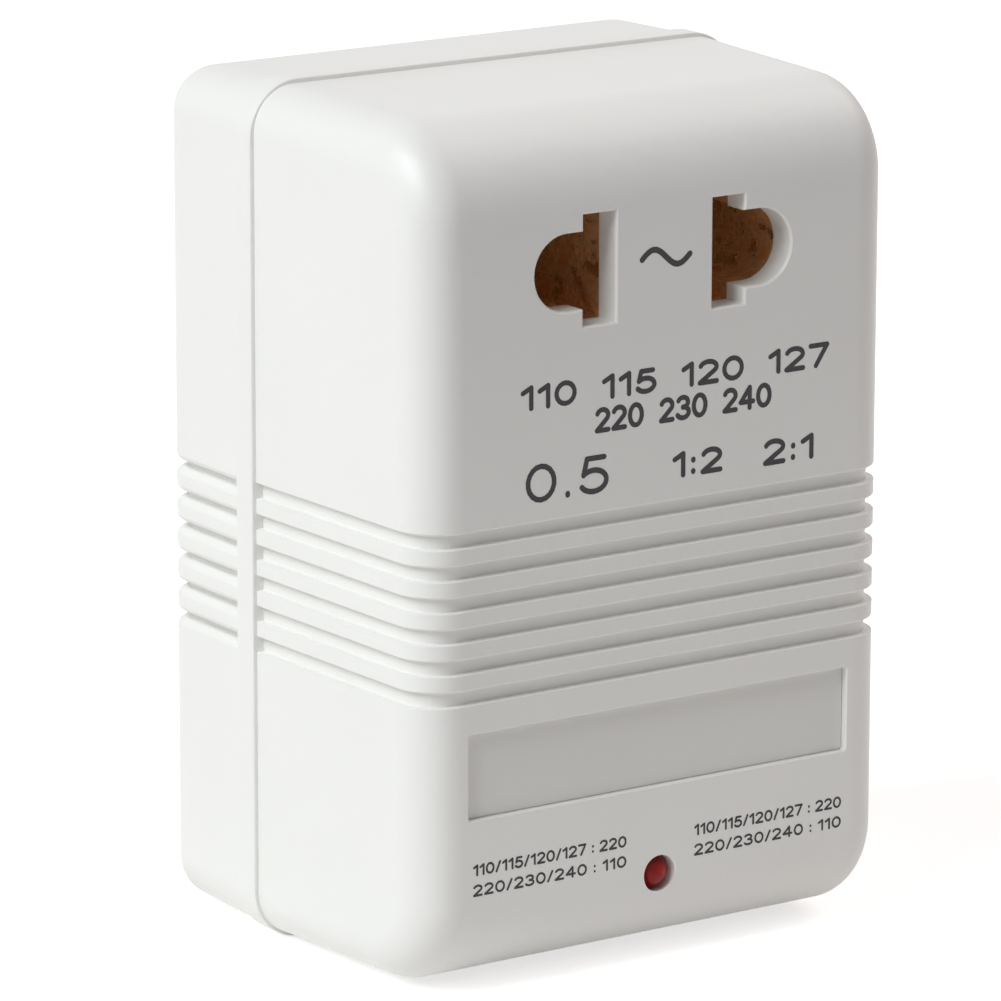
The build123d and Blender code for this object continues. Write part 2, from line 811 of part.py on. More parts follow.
# Steel channel over the core, with tabs folded under it and an ear along the front
frame_top_z = core_top_z + frame_thickness
frame_half_width = core_half_width + frame_thickness
with BuildPart() as core_frame:
    with BuildSketch(plane_at(core_front_y)):
        with Locations((0, (core_bottom_z + frame_top_z) / 2)):
            Rectangle(2 * frame_half_width, frame_top_z - core_bottom_z)
        with Locations((0, (core_bottom_z + core_top_z) / 2)):
            Rectangle(2 * core_half_width, core_top_z - core_bottom_z, mode=Mode.SUBTRACT)
    extrude(amount=-stack_depth)
    with BuildSketch(plane_at(core_middle_y - frame_tab_depth / 2)):
        tab_x = frame_half_width - frame_tab_width / 2
        with Locations(*[(s * tab_x, core_bottom_z - frame_thickness / 2) for s in side_of.values()]):
            Rectangle(frame_tab_width, frame_thickness)
    extrude(amount=-frame_tab_depth)
    with BuildSketch(plane_at(core_front_y)):
        with Locations((0, frame_top_z + frame_ear_height / 2)):
            RectangleRounded(frame_ear_width, frame_ear_height, frame_ear_radius)
        with Locations((0, frame_top_z + frame_ear_radius / 2 - frame_thickness / 2)):
            Rectangle(frame_ear_width, frame_ear_radius + frame_thickness)
        with Locations(*frame_screw_places):
            Circle(small_hole_radius, mode=Mode.SUBTRACT)
    extrude(amount=-frame_thickness)
core_frame.part.label = "core_frame"
export_step(core_frame.part, "parts/core_frame.step")

frame_seat_y = core_front_y + frame_thickness
with BuildPart() as core_frame_screws:
    with Locations(*[back_plane_at(frame_seat_y) * Location((-x, z, 0)) for x, z in frame_screw_places]):
        add(small_screw)
core_frame_screws.part.label = "core_frame_screws"
export_step(core_frame_screws.part, "parts/core_frame_screws.step")

# Bobbin: a square tube on the core's middle leg between two flanges
core_middle = Plane(origin=(0, core_middle_y, 0))
bobbin_bottom_z = window_bottom_z + bobbin_clearance
bobbin_top_z = leg_top_z - bobbin_clearance
bore_width = 2 * (lamination_unit + bobbin_clearance)
bore_depth = stack_depth + 2 * bobbin_clearance
flange_width = 2 * (2 * lamination_unit - flange_clearance)
flange_depth = stack_depth + 2 * (lamination_unit - flange_clearance)
with BuildPart() as bobbin:
    with BuildSketch(core_middle.offset(bobbin_bottom_z)):
        RectangleRounded(bore_width + 2 * bobbin_wall, bore_depth + 2 * bobbin_wall, winding_corner_radius)
    extrude(amount=bobbin_top_z - bobbin_bottom_z)
    for low_z in (bobbin_bottom_z, bobbin_top_z - flange_thickness):
        with BuildSketch(core_middle.offset(low_z)):
            Rectangle(flange_width, flange_depth)
        extrude(amount=flange_thickness)
    with BuildSketch(core_middle.offset(bobbin_bottom_z)):
        Rectangle(bore_width, bore_depth)
    extrude(amount=bobbin_top_z - bobbin_bottom_z, mode=Mode.SUBTRACT)
bobbin.part.label = "bobbin"
export_step(bobbin.part, "parts/bobbin.step")

# Windings and tapes, one round the other on the bobbin
winding_bottom_z = bobbin_bottom_z + flange_thickness + winding_clearance
winding_top_z = bobbin_top_z - flange_thickness - winding_clearance
layers = {
    "common_winding": inner_winding_depth,
    "interlayer_tape": tape_thickness,
    "series_winding": outer_winding_depth,
    "outer_tape": tape_thickness,
}
inner_width = bore_width + 2 * bobbin_wall + 2 * winding_clearance
inner_depth = bore_depth + 2 * bobbin_wall + 2 * winding_clearance
inner_radius = winding_corner_radius + winding_clearance
for name, thickness in layers.items():
    with BuildPart() as layer:
        with BuildSketch(core_middle.offset(winding_bottom_z)):
            RectangleRounded(inner_width, inner_depth, inner_radius)
            offset(amount=thickness, kind=Kind.ARC)
            RectangleRounded(inner_width, inner_depth, inner_radius, mode=Mode.SUBTRACT)
        extrude(amount=winding_top_z - winding_bottom_z)
    layer.part.label = name
    export_step(layer.part, f"parts/{name}.step")
    inner_width += 2 * (thickness + winding_clearance)
    inner_depth += 2 * (thickness + winding_clearance)
    inner_radius += thickness + winding_clearance
winding_back_y = core_middle_y + inner_depth / 2 - winding_clearance

# Solder pins along the back of the bobbin's top flange
pin_y = core_middle_y + flange_depth / 2 - pin_set_in
pin_top_z = bobbin_top_z + pin_length
pin_x = [(n - (pin_count - 1) / 2) * pin_pitch for n in range(pin_count)]
with BuildPart() as bobbin_pins:
    with BuildSketch(Plane.XY.offset(bobbin_top_z)):
        with Locations(*[(x, pin_y) for x in pin_x]):
            Circle(pin_radius)
    extrude(amount=pin_length)
bobbin_pins.part.label = "bobbin_pins"
export_step(bobbin_pins.part, "parts/bobbin_pins.step")

# Thermal fuse: a small can with a tapered tip and two legs
fuse_y = winding_back_y + fuse_radius
fuse_end_x = fuse_length / 2 + fuse_tip_length
fuse_leg_x = fuse_end_x + fuse_leg_length
with BuildPart() as thermal_fuse:
    with BuildSketch(Plane.XY.offset(fuse_z)):
        with BuildLine():
            Polyline(
                (-fuse_leg_x, fuse_y),
                (-fuse_leg_x, fuse_y + fuse_leg_radius),
                (-fuse_end_x, fuse_y + fuse_leg_radius),
                (-fuse_end_x, fuse_y + fuse_tip_radius),
                (-fuse_length / 2, fuse_y + fuse_radius),
                (fuse_length / 2, fuse_y + fuse_radius),
                (fuse_end_x, fuse_y + fuse_tip_radius),
                (fuse_end_x, fuse_y + fuse_leg_radius),
                (fuse_leg_x, fuse_y + fuse_leg_radius),
                (fuse_leg_x, fuse_y),
                close=True,
            )
        make_face()
    revolve(axis=Axis((0, fuse_y, fuse_z), (1, 0, 0)))
thermal_fuse.part.label = "thermal_fuse"
export_step(thermal_fuse.part, "parts/thermal_fuse.step")

# Indicator lamp: a domed body with a flange at its back
dome_centre_y = front_y + lamp_set_in + lamp_radius
lamp_flange_y = lamp_back_y - lamp_flange_thickness
with BuildPart() as indicator_lamp:
    with BuildSketch(Plane.XY.offset(lamp_z)):
        with BuildLine():
            Line((0, lamp_back_y), (lamp_flange_radius, lamp_back_y))
            Line((lamp_flange_radius, lamp_back_y), (lamp_flange_radius, lamp_flange_y))
            Line((lamp_flange_radius, lamp_flange_y), (lamp_radius, lamp_flange_y))
            Line((lamp_radius, lamp_flange_y), (lamp_radius, dome_centre_y))
            CenterArc((0, dome_centre_y), lamp_radius, -quarter_turn, quarter_turn)
            Line((0, dome_centre_y - lamp_radius), (0, lamp_back_y))
        make_face()
    revolve(axis=Axis((0, 0, lamp_z), (0, 1, 0)))
indicator_lamp.part.label = "indicator_lamp"
export_step(indicator_lamp.part, "parts/indicator_lamp.step")

with BuildPart() as lamp_legs:
    with BuildSketch(plane_at(board_y)):
        with Locations(*[(s * lamp_leg_pitch / 2, lamp_z) for s in side_of.values()]):
            Circle(lamp_leg_radius)
    extrude(amount=lamp_to_board)
lamp_legs.part.label = "lamp_legs"
export_step(lamp_legs.part, "parts/lamp_legs.step")

with BuildPart() as lamp_board:
    with BuildSketch(plane_at(board_y)):
        with Locations((0, board_bottom_z + board_height / 2)):
            Rectangle(board_width, board_height)
    extrude(amount=-board_thickness)
lamp_board.part.label = "lamp_board"
export_step(lamp_board.part, "parts/lamp_board.step")


def board_component(x, body_radius, body_length, waist_radius, cap_length):
    """Upright body with a leg at each end that bends back to the lamp's board."""
    body_y = board_y - component_stand_off - body_radius
    body_z = board_bottom_z + board_height / 2
    leg_z = body_length / 2 + component_leg_run
    with BuildPart() as component:
        with BuildSketch(Plane(origin=(x, body_y, body_z - body_length / 2))):
            Circle(waist_radius)
        extrude(amount=body_length)
        for cap_z in (body_z - body_length / 2, body_z + body_length / 2 - cap_length):
            with BuildSketch(Plane(origin=(x, body_y, cap_z))):
                Circle(body_radius)
            extrude(amount=cap_length)
        with BuildSketch(Plane(origin=(x, body_y, body_z - leg_z))):
            Circle(component_leg_radius)
        extrude(amount=2 * leg_z)
        with BuildSketch(plane_at(board_y)):
            with Locations(*[(x, body_z + s * leg_z) for s in side_of.values()]):
                Circle(component_leg_radius)
        extrude(amount=board_y - body_y)
    return component.part


with BuildPart() as lamp_resistor:
    add(
        board_component(
            -component_offset, resistor_radius, resistor_length, resistor_waist_radius, resistor_cap_length
        )
    )
lamp_resistor.part.label = "lamp_resistor"
export_step(lamp_resistor.part, "parts/lamp_resistor.step")

with BuildPart() as lamp_diode:
    add(board_component(component_offset, diode_radius, diode_length, diode_radius, diode_length / 2))
lamp_diode.part.label = "lamp_diode"
export_step(lamp_diode.part, "parts/lamp_diode.step")

# Voltage selector: an open box for the slider, with two rows of three terminals
cavity_width = slider_base_width + selector_travel + 2 * slider_side_clearance
cavity_height = slider_base_height + 2 * slider_side_clearance
cavity_front_y = selector_front_y + selector_base_depth
terminal_places = [
    (column * terminal_pitch, selector_z + row * terminal_row_pitch / 2)
    for column in (-1, 0, 1)
    for row in side_of.values()
]
with BuildPart() as selector_body:
    with BuildSketch(plane_at(selector_front_y)):
        with Locations((0, selector_z)):
            Rectangle(selector_body_width, selector_body_height)
    extrude(amount=-selector_body_depth)
    with BuildSketch(plane_at(cavity_front_y)):
        with Locations((0, selector_z)):
            Rectangle(cavity_width, cavity_height)
    extrude(amount=-selector_body_depth, mode=Mode.SUBTRACT)
    with BuildSketch(plane_at(selector_front_y)):
        with Locations(*terminal_places):
            Rectangle(terminal_width + 2 * fit_clearance, terminal_thickness + 2 * fit_clearance)
    extrude(amount=-selector_base_depth, mode=Mode.SUBTRACT)
selector_body.part.label = "selector_body"
export_step(selector_body.part, "parts/selector_body.step")

lug_y = selector_front_y - terminal_lug_length
with BuildPart() as selector_terminals:
    with BuildSketch(plane_at(lug_y)):
        with Locations(*terminal_places):
            Rectangle(terminal_width, terminal_thickness)
    extrude(amount=-terminal_lug_length - selector_base_depth - terminal_pad_height)
selector_terminals.part.label = "selector_terminals"
export_step(selector_terminals.part, "parts/selector_terminals.step")

with BuildPart() as selector_frame:
    with BuildSketch(plane_at(frame_back_y)):
        with Locations((0, selector_z)):
            RectangleRounded(selector_frame_width, selector_frame_height, selector_frame_radius)
            Rectangle(window_width, window_height, mode=Mode.SUBTRACT)
        with Locations(*selector_screw_places):
            Circle(small_hole_radius, mode=Mode.SUBTRACT)
    extrude(amount=-selector_frame_thickness)
selector_frame.part.label = "selector_frame"
export_step(selector_frame.part, "parts/selector_frame.step")

selector_seat_y = rear_y - small_sink
with BuildPart() as selector_screws:
    for x, z in selector_screw_places:
        with Locations(back_plane_at(selector_seat_y) * Location((-x, z, 0))):
            add(small_screw)
selector_screws.part.label = "selector_screws"
export_step(selector_screws.part, "parts/selector_screws.step")

# Slider, drawn at the left end of its travel, with a ribbed knob in the window
slider_x = -selector_travel / 2
slider_back_y = frame_back_y - slider_base_gap
slider_front_y = slider_back_y - slider_base_depth
knob_top_y = rear_y - knob_set_in
knob_step = knob_width / knob_groove_count
with BuildPart() as selector_slider:
    with BuildSketch(plane_at(slider_front_y)):
        with Locations((slider_x, selector_z)):
            Rectangle(slider_base_width, slider_base_height)
    extrude(amount=-slider_base_depth)
    with BuildSketch(plane_at(slider_back_y)):
        with Locations((slider_x, selector_z)):
            Rectangle(knob_width, knob_height)
    extrude(amount=slider_back_y - knob_top_y)
    with BuildSketch(plane_at(knob_top_y)):
        for n in range(1, knob_groove_count):
            with Locations((slider_x - knob_width / 2 + n * knob_step, selector_z)):
                Rectangle(knob_groove_width, knob_height)
    extrude(amount=knob_groove_depth, mode=Mode.SUBTRACT)
selector_slider.part.label = "selector_slider"
export_step(selector_slider.part, "parts/selector_slider.step")

with BuildPart() as selector_bridges:
    with BuildSketch(plane_at(slider_front_y)):
        with Locations(*[(slider_x, selector_z + s * terminal_row_pitch / 2) for s in side_of.values()]):
            Rectangle(bridge_length, bridge_width)
    extrude(amount=bridge_thickness)
selector_bridges.part.label = "selector_bridges"
export_step(selector_bridges.part, "parts/selector_bridges.step")

# Leads between the blades, the selector, the windings, the fuse and the contacts
upper_row_z = selector_z + terminal_row_pitch / 2
lower_row_z = selector_z - terminal_row_pitch / 2
blade_x = blade_pitch / 2
tap_z = pin_top_z + tap_rise
lug_under_z = lower_row_z - terminal_thickness / 2
jumper_far_y = lug_y - 2 * jumper_drop
jumper_near_y = lug_y - jumper_drop
routes = {
    "blade_live_lead": [
        (-blade_x, blade_tail_y, blade_z),
        (-blade_x, live_lane_y, blade_z),
        (0, live_lane_y, blade_z - live_lane_drop),
        (0, live_lane_y, upper_row_z + terminal_thickness / 2),
    ],
    "output_live_lead": [
        (-contact_tail_x, contact_tail_y, socket_z),
        (-contact_tail_x, output_lane_y, socket_z),
        (0, output_lane_y, socket_z - output_lane_drop),
        (0, output_lane_y, lower_row_z),
        (0, lug_y, lower_row_z),
    ],
    "blade_neutral_lead": [
        (blade_x, blade_tail_y, blade_z),
        (blade_x, live_lane_y, blade_z),
        (neutral_lane_x, neutral_lane_y, blade_z - neutral_lane_drop),
        (neutral_lane_x, neutral_turn_y, fuse_z + neutral_turn_rise),
        (neutral_lane_x, fuse_y, fuse_z),
        (fuse_leg_x, fuse_y, fuse_z),
    ],
    "output_neutral_lead": [
        (contact_tail_x, contact_tail_y, socket_z),
        (contact_tail_x, return_start_y, socket_z),
        (return_lane_x, return_lane_y, socket_z - return_lane_drop),
        (return_lane_x, return_turn_y, tap_z + return_turn_rise),
        (pin_x[5], pin_y, tap_z),
        (pin_x[5], pin_y, pin_top_z),
    ],
    "high_tap_lead": [
        (pin_x[1], pin_y, pin_top_z),
        (pin_x[1], pin_y, tap_z),
        (-terminal_pitch, tap_lane_y, lug_under_z - tap_rise / 2),
        (-terminal_pitch, tap_lane_y, lug_under_z),
    ],
    "low_tap_lead": [
        (pin_x[4], pin_y, pin_top_z),
        (pin_x[4], pin_y, tap_z),
        (terminal_pitch, tap_lane_y, lug_under_z - tap_rise / 2),
        (terminal_pitch, tap_lane_y, lug_under_z),
    ],
    "fuse_lead": [
        (-fuse_leg_x, fuse_y, fuse_z),
        (-fuse_lane_x, fuse_y, fuse_z),
        (-fuse_lane_x, pin_y, pin_top_z - pin_length / 2),
        (pin_x[0] - pin_radius, pin_y, pin_top_z - pin_length / 2),
    ],
}
for name, points in routes.items():
    with BuildPart() as wire:
        add(lead(points, lead_radius))
    wire.part.label = name
    export_step(wire.part, f"parts/{name}.step")

with BuildPart() as selector_jumpers:
    for side, far_y in ((1, jumper_near_y), (-1, jumper_far_y)):
        add(
            lead(
                [
                    (-side * terminal_pitch, lug_y, upper_row_z),
                    (-side * terminal_pitch, far_y, upper_row_z),
                    (side * terminal_pitch, far_y, lower_row_z),
                    (side * terminal_pitch, lug_y, lower_row_z),
                ],
                jumper_radius,
            )
        )
selector_jumpers.part.label = "selector_jumpers"
export_step(selector_jumpers.part, "parts/selector_jumpers.step")

with BuildPart() as lamp_leads:
    for side in side_of.values():
        lead_x = side * component_offset / 2
        add(
            lead(
                [(lead_x, board_middle_y, bobbin_bottom_z), (lead_x, board_middle_y, board_top_z)],
                lamp_lead_radius,
            )
        )
lamp_leads.part.label = "lamp_leads"
export_step(lamp_leads.part, "parts/lamp_leads.step")
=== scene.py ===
"""Looks of a plug-in travel voltage converter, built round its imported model.

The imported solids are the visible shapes. This script gives them their materials, prints the
front, and sets up the floor, the lamps and the camera. Lengths are in metres, and in
millimetres where the name ends in mm.
"""

import logging
import math
from dataclasses import dataclass
from enum import Enum
from typing import Any, ClassVar

import bpy
from mathutils import Matrix, Vector
from mathutils.bvhtree import BVHTree


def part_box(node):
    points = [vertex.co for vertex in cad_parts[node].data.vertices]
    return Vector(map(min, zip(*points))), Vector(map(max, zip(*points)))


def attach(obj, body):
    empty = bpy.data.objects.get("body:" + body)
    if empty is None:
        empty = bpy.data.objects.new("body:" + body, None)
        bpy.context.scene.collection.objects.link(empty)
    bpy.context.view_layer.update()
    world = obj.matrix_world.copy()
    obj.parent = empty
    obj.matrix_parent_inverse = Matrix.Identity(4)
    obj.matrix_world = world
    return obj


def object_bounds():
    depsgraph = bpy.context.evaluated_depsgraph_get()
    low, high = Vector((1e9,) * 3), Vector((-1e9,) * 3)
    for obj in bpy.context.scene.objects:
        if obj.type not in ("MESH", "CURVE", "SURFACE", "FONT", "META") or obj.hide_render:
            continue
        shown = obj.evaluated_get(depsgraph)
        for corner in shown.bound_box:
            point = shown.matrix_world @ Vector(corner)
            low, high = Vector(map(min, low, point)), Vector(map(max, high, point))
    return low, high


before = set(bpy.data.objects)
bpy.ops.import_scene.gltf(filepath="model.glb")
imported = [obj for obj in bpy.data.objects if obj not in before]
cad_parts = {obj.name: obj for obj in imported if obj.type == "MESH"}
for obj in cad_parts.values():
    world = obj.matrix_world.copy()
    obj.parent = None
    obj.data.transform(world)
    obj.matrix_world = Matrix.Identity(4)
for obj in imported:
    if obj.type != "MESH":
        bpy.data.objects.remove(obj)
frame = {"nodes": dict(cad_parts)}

LOG = logging.getLogger("converter")
CAD_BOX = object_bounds()
MM = 0.001
WHITE = "#FFFFFF"
# A wave texture of scale 1 repeats after this length.
WAVE_PERIOD = math.pi / 10
# Most values of a noise texture lie between these two.
NOISE_LOW = 0.3
NOISE_HIGH = 0.7

Stops = tuple[tuple[float, str], ...]


class Direction(Enum):
    """Axis along which a pattern runs or repeats."""

    X = "X"
    Y = "Y"
    Z = "Z"


def linear(colour: str) -> tuple[float, float, float, float]:
    """Turns an sRGB colour to linear light.

    Args:
        colour: the colour as a hex string such as "#F0F1EF".

    Returns:
        Red, green, blue and an alpha of one.
    """
    shares = [int(colour[i : i + 2], 16) / 255 for i in (1, 3, 5)]
    red, green, blue = (s / 12.92 if s <= 0.04045 else ((s + 0.055) / 1.055) ** 2.4 for s in shares)
    return red, green, blue, 1.0


def add_node(
    tree: bpy.types.NodeTree, kind: str, settings: dict[str | int, Any], **links: bpy.types.NodeSocket
) -> bpy.types.Node:
    """Adds a node to a tree, sets it up and links its inputs.

    Args:
        tree: the tree that gets the node.
        kind: the node's type.
        settings: values by name, for the node's own properties or its inputs. A number as
            a name means the input at that place.
        links: output sockets by the name of the input that they go to, with _ for a space.
            An input known by its place is written as in0, in1 and so on.

    Returns:
        The new node.
    """
    node = tree.nodes.new(kind)
    for name, value in settings.items():
        if isinstance(name, int) or name in node.inputs:
            node.inputs[name].default_value = value
        else:
            setattr(node, name, value)
    for name, socket in links.items():
        key = int(name[2:]) if name[2:].isdigit() else name.replace("_", " ")
        tree.links.new(socket, node.inputs[key])
    return node


def set_stops(ramp: bpy.types.ColorRamp, stops: Stops) -> None:
    """Gives a new colour ramp its stops.

    Args:
        ramp: a new ramp, which has one stop at each end.
        stops: two or more places from zero to one, each with its colour.
    """
    for stop, (place, colour) in zip(ramp.elements, stops):
        stop.position = place
        stop.color = linear(colour)
    for place, colour in stops[2:]:
        ramp.elements.new(place).color = linear(colour)


def open_material(
    name: str,
) -> tuple[bpy.types.Material, bpy.types.NodeTree, bpy.types.Node, bpy.types.NodeSocket]:
    """Starts a material with a principled shader.

    Args:
        name: the material's name.

    Returns:
        The material, its tree, its shader and a socket with the place in millimetres.
    """
    material = bpy.data.materials.new(name)
    material.use_nodes = True
    tree = material.node_tree
    shader = tree.nodes["Principled BSDF"]
    place = add_node(tree, "ShaderNodeTexCoord", {})
    scaled = add_node(
        tree, "ShaderNodeVectorMath", {"operation": "SCALE", "Scale": 1 / MM}, Vector=place.outputs["Object"]
    )
    return material, tree, shader, scaled.outputs["Vector"]


def clear_rays(tree: bpy.types.NodeTree) -> bpy.types.NodeSocket:
    """Tells the rays of the lens, of reflections and of refractions from the rest.

    Args:
        tree: the tree that gets the nodes.

    Returns:
        A socket that is one for those rays and zero for all other rays.
    """
    path = add_node(tree, "ShaderNodeLightPath", {})
    seen = add_node(
        tree,
        "ShaderNodeMath",
        {"operation": "MAXIMUM"},
        in0=path.outputs["Is Camera Ray"],
        in1=path.outputs["Is Glossy Ray"],
    )
    clear = add_node(
        tree,
        "ShaderNodeMath",
        {"operation": "MAXIMUM"},
        in0=seen.outputs["Value"],
        in1=path.outputs["Is Transmission Ray"],
    )
    return clear.outputs["Value"]


@dataclass(frozen=True)
class Finish:
    """What a surface is made of."""

    name: str

    def build(self) -> bpy.types.Material:
        """Builds the material, which each kind of finish does in its own way.

        Returns:
            The new material.
        """
        raise NotImplementedError


@dataclass(frozen=True)
class MouldedPlastic(Finish):
    """Plastic or film with an even tone and a fine grain.

    The grain that a spark-eroded mould leaves is about 0.1 mm wide. It is drawn two to five
    times as coarse, so that it shows.
    """

    colour: str
    shade: str
    roughness: float
    ior: float
    grain_mm: float
    grain_height_mm: float
    mottle_mm: float
    roughness_spread: float = 0.03

    def build(self) -> bpy.types.Material:
        """Builds the material.

        Returns:
            The new material.
        """
        material, tree, shader, place = open_material(self.name)
        mottle = add_node(
            tree, "ShaderNodeTexNoise", {"Scale": 1 / self.mottle_mm, "Detail": 3.0}, Vector=place
        )
        tone = add_node(tree, "ShaderNodeValToRGB", {}, Fac=mottle.outputs["Fac"])
        set_stops(tone.color_ramp, ((NOISE_LOW, self.shade), (NOISE_HIGH, self.colour)))
        tree.links.new(tone.outputs["Color"], shader.inputs["Base Color"])
        grain = add_node(
            tree, "ShaderNodeTexNoise", {"Scale": 1 / self.grain_mm, "Detail": 2.0}, Vector=place
        )
        bump = add_node(
            tree,
            "ShaderNodeBump",
            {"Strength": 1.0, "Distance": self.grain_height_mm * MM},
            Height=grain.outputs["Fac"],
        )
        tree.links.new(bump.outputs["Normal"], shader.inputs["Normal"])
        satin = add_node(
            tree,
            "ShaderNodeMapRange",
            {
                "From Min": NOISE_LOW,
                "From Max": NOISE_HIGH,
                "To Min": self.roughness - self.roughness_spread,
                "To Max": self.roughness + self.roughness_spread,
            },
            Value=grain.outputs["Fac"],
        )
        tree.links.new(satin.outputs["Result"], shader.inputs["Roughness"])
        shader.inputs["IOR"].default_value = self.ior
        return material


@dataclass(frozen=True)
class RolledMetal(Finish):
    """Rolled or plated sheet metal: fine lines along the rolling and soft tarnished patches.

    Rolling lines are a few hundredths of a millimetre wide, and are drawn at 0.1 to 0.15 mm,
    so that they show.
    """

    colour: str
    tarnish: str
    roughness: float
    along: Direction
    line_mm: float
    line_length_mm: float
    patch_mm: float
    clean_share: float
    tarnish_metallic: float = 1.0
    tarnish_roughening: float = 0.12
    clean_smoothing: float = 0.06
    line_strength: float = 0.6
    line_height_mm: float = 0.004

    def build(self) -> bpy.types.Material:
        """Builds the material.

        Returns:
            The new material.
        """
        material, tree, shader, place = open_material(self.name)
        lengths = [1 / self.line_mm] * 3
        lengths["XYZ".index(self.along.value)] = 1 / self.line_length_mm
        drawn = add_node(tree, "ShaderNodeVectorMath", {"operation": "MULTIPLY", 1: lengths}, in0=place)
        lines = add_node(
            tree, "ShaderNodeTexNoise", {"Scale": 1.0, "Detail": 2.0}, Vector=drawn.outputs["Vector"]
        )
        patches = add_node(
            tree, "ShaderNodeTexNoise", {"Scale": 1 / self.patch_mm, "Detail": 5.0}, Vector=place
        )
        tone = add_node(tree, "ShaderNodeValToRGB", {}, Fac=patches.outputs["Fac"])
        set_stops(tone.color_ramp, ((1 - self.clean_share, self.tarnish), (self.clean_share, self.colour)))
        tree.links.new(tone.outputs["Color"], shader.inputs["Base Color"])
        gloss = add_node(
            tree,
            "ShaderNodeMapRange",
            {
                "From Min": NOISE_LOW,
                "From Max": NOISE_HIGH,
                "To Min": self.roughness + self.tarnish_roughening,
                "To Max": self.roughness - self.clean_smoothing,
            },
            Value=patches.outputs["Fac"],
        )
        tree.links.new(gloss.outputs["Result"], shader.inputs["Roughness"])
        bump = add_node(
            tree,
            "ShaderNodeBump",
            {"Strength": self.line_strength, "Distance": self.line_height_mm * MM},
            Height=lines.outputs["Fac"],
        )
        tree.links.new(bump.outputs["Normal"], shader.inputs["Normal"])
        bare = add_node(
            tree,
            "ShaderNodeMapRange",
            {"From Min": 1 - self.clean_share, "From Max": self.clean_share, "To Min": self.tarnish_metallic},
            Value=patches.outputs["Fac"],
        )
        tree.links.new(bare.outputs["Result"], shader.inputs["Metallic"])
        return material


@dataclass(frozen=True)
class LayeredStack(Finish):
    """Layers on edge, such as varnished laminations or the turns of a winding."""

    colour: str
    gap_colour: str
    layer_mm: float
    across: Direction
    roughness: float
    metallic: float
    layer_height_mm: float
    waviness: float = 0.4
    gap_end: float = 0.1
    layer_start: float = 0.6

    def build(self) -> bpy.types.Material:
        """Builds the material.

        Returns:
            The new material.
        """
        material, tree, shader, place = open_material(self.name)
        layers = add_node(
            tree,
            "ShaderNodeTexWave",
            {
                "wave_type": "BANDS",
                "bands_direction": self.across.value,
                "Scale": WAVE_PERIOD / self.layer_mm,
                "Distortion": self.waviness,
                "Detail": 1.0,
            },
            Vector=place,
        )
        tone = add_node(tree, "ShaderNodeValToRGB", {}, Fac=layers.outputs["Fac"])
        # The gap colour is the dark varnished joint between laminations, and painted shade in the grooves
        # between the turns of a winding.
        set_stops(tone.color_ramp, ((self.gap_end, self.gap_colour), (self.layer_start, self.colour)))
        tree.links.new(tone.outputs["Color"], shader.inputs["Base Color"])
        bump = add_node(
            tree,
            "ShaderNodeBump",
            {"Strength": 1.0, "Distance": self.layer_height_mm * MM},
            Height=layers.outputs["Fac"],
        )
        tree.links.new(bump.outputs["Normal"], shader.inputs["Normal"])
        shader.inputs["Roughness"].default_value = self.roughness
        shader.inputs["Metallic"].default_value = self.metallic
        return material


@dataclass(frozen=True)
class PolyesterTape(Finish):
    """Polyester insulating tape: glossy film with faint wrinkles over what it covers."""

    colour: str
    shade: str
    wrinkle_mm: float = 2.5
    wrinkle_twist: float = 0.8
    wrinkle_strength: float = 0.5
    wrinkle_height_mm: float = 0.05
    shade_end: float = 0.35
    colour_start: float = 0.65
    roughness: float = 0.18
    film_gloss: float = 0.4
    ior: float = 1.64

    def build(self) -> bpy.types.Material:
        """Builds the material.

        Returns:
            The new material.
        """
        material, tree, shader, place = open_material(self.name)
        wrinkles = add_node(
            tree,
            "ShaderNodeTexNoise",
            {"Scale": 1 / self.wrinkle_mm, "Detail": 3.0, "Distortion": self.wrinkle_twist},
            Vector=place,
        )
        tone = add_node(tree, "ShaderNodeValToRGB", {}, Fac=wrinkles.outputs["Fac"])
        set_stops(tone.color_ramp, ((self.shade_end, self.shade), (self.colour_start, self.colour)))
        tree.links.new(tone.outputs["Color"], shader.inputs["Base Color"])
        bump = add_node(
            tree,
            "ShaderNodeBump",
            {"Strength": self.wrinkle_strength, "Distance": self.wrinkle_height_mm * MM},
            Height=wrinkles.outputs["Fac"],
        )
        tree.links.new(bump.outputs["Normal"], shader.inputs["Normal"])
        shader.inputs["Roughness"].default_value = self.roughness
        shader.inputs["Coat Weight"].default_value = self.film_gloss
        shader.inputs["IOR"].default_value = self.ior
        return material


@dataclass(frozen=True)
class DyedResin(Finish):
    """Cast epoxy resin dyed through: a softly shining skin over a cloudy inside.

    Part of the light scatters inside it, red light deeper than green and blue.
    """

    colour: str
    deep: str
    cloud_mm: float = 1.2
    roughness: float = 0.32
    ior: float = 1.5
    shine: float = 0.2
    scatter: float = 0.3
    scatter_shares: tuple[float, float, float] = (1.0, 0.15, 0.1)
    scatter_depth_mm: float = 1.5

    def build(self) -> bpy.types.Material:
        """Builds the material.

        Returns:
            The new material.
        """
        material, tree, shader, place = open_material(self.name)
        cloud = add_node(
            tree, "ShaderNodeTexNoise", {"Scale": 1 / self.cloud_mm, "Detail": 2.0}, Vector=place
        )
        tone = add_node(tree, "ShaderNodeValToRGB", {}, Fac=cloud.outputs["Fac"])
        set_stops(tone.color_ramp, ((NOISE_LOW, self.deep), (NOISE_HIGH, self.colour)))
        tree.links.new(tone.outputs["Color"], shader.inputs["Base Color"])
        shader.inputs["Roughness"].default_value = self.roughness
        shader.inputs["IOR"].default_value = self.ior
        shader.inputs["Specular IOR Level"].default_value = self.shine
        shader.inputs["Subsurface Weight"].default_value = self.scatter
        shader.inputs["Subsurface Radius"].default_value = self.scatter_shares
        shader.inputs["Subsurface Scale"].default_value = self.scatter_depth_mm * MM
        return material


